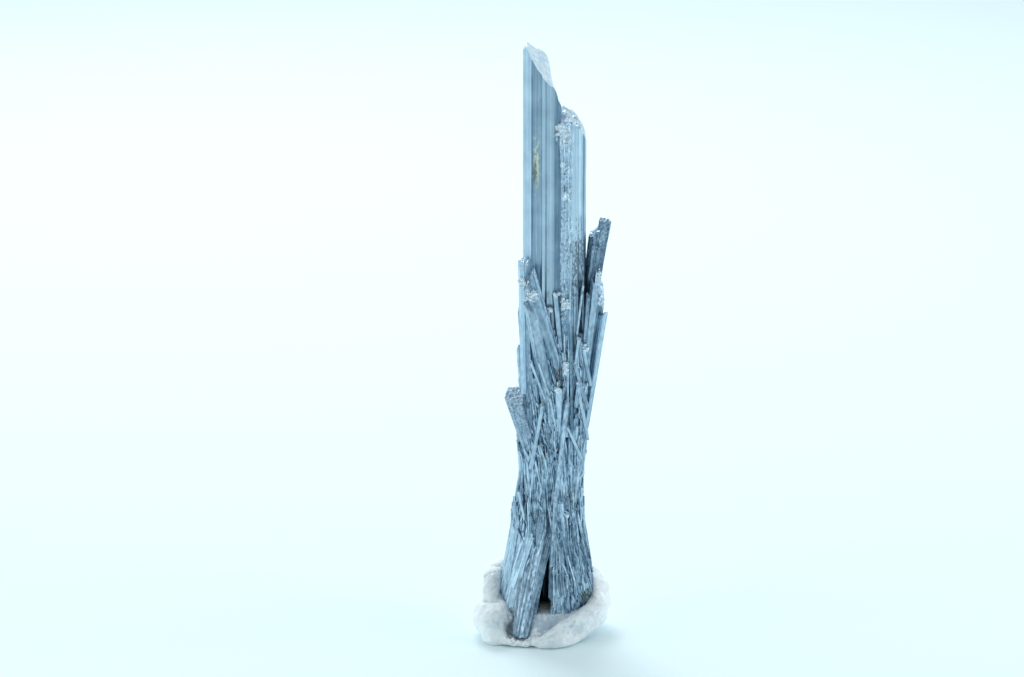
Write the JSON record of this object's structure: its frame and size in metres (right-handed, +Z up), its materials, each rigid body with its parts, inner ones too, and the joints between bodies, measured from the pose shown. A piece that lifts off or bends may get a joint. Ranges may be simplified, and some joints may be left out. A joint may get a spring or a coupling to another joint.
{
  "type": "stibnite crystal spray",
  "caption": "Stibnite crystal spray: a tall striated blade rising from a waisted sheaf of thin crystals, standing upright in a pinched base of white mounting putty.",
  "frame": {"origin": "on the surface the piece stands on, under the middle of the putty base's box", "axes": "+Z up along the tall blade, -Y towards the viewer who sees the leaning blade and the front leg, +X to that viewer's right"},
  "size_m": [0.017, 0.0154, 0.0763],
  "materials": {
    "stibnite": "bluish lead-grey metallic lustre, striated along the crystals, sparkling where broken",
    "white_putty": "matt white, finger-pinched"
  },
  "bodies": {
    "root": {"crystal_spray": "stibnite", "putty_base": "white_putty"}
  },
  "joints": []
}
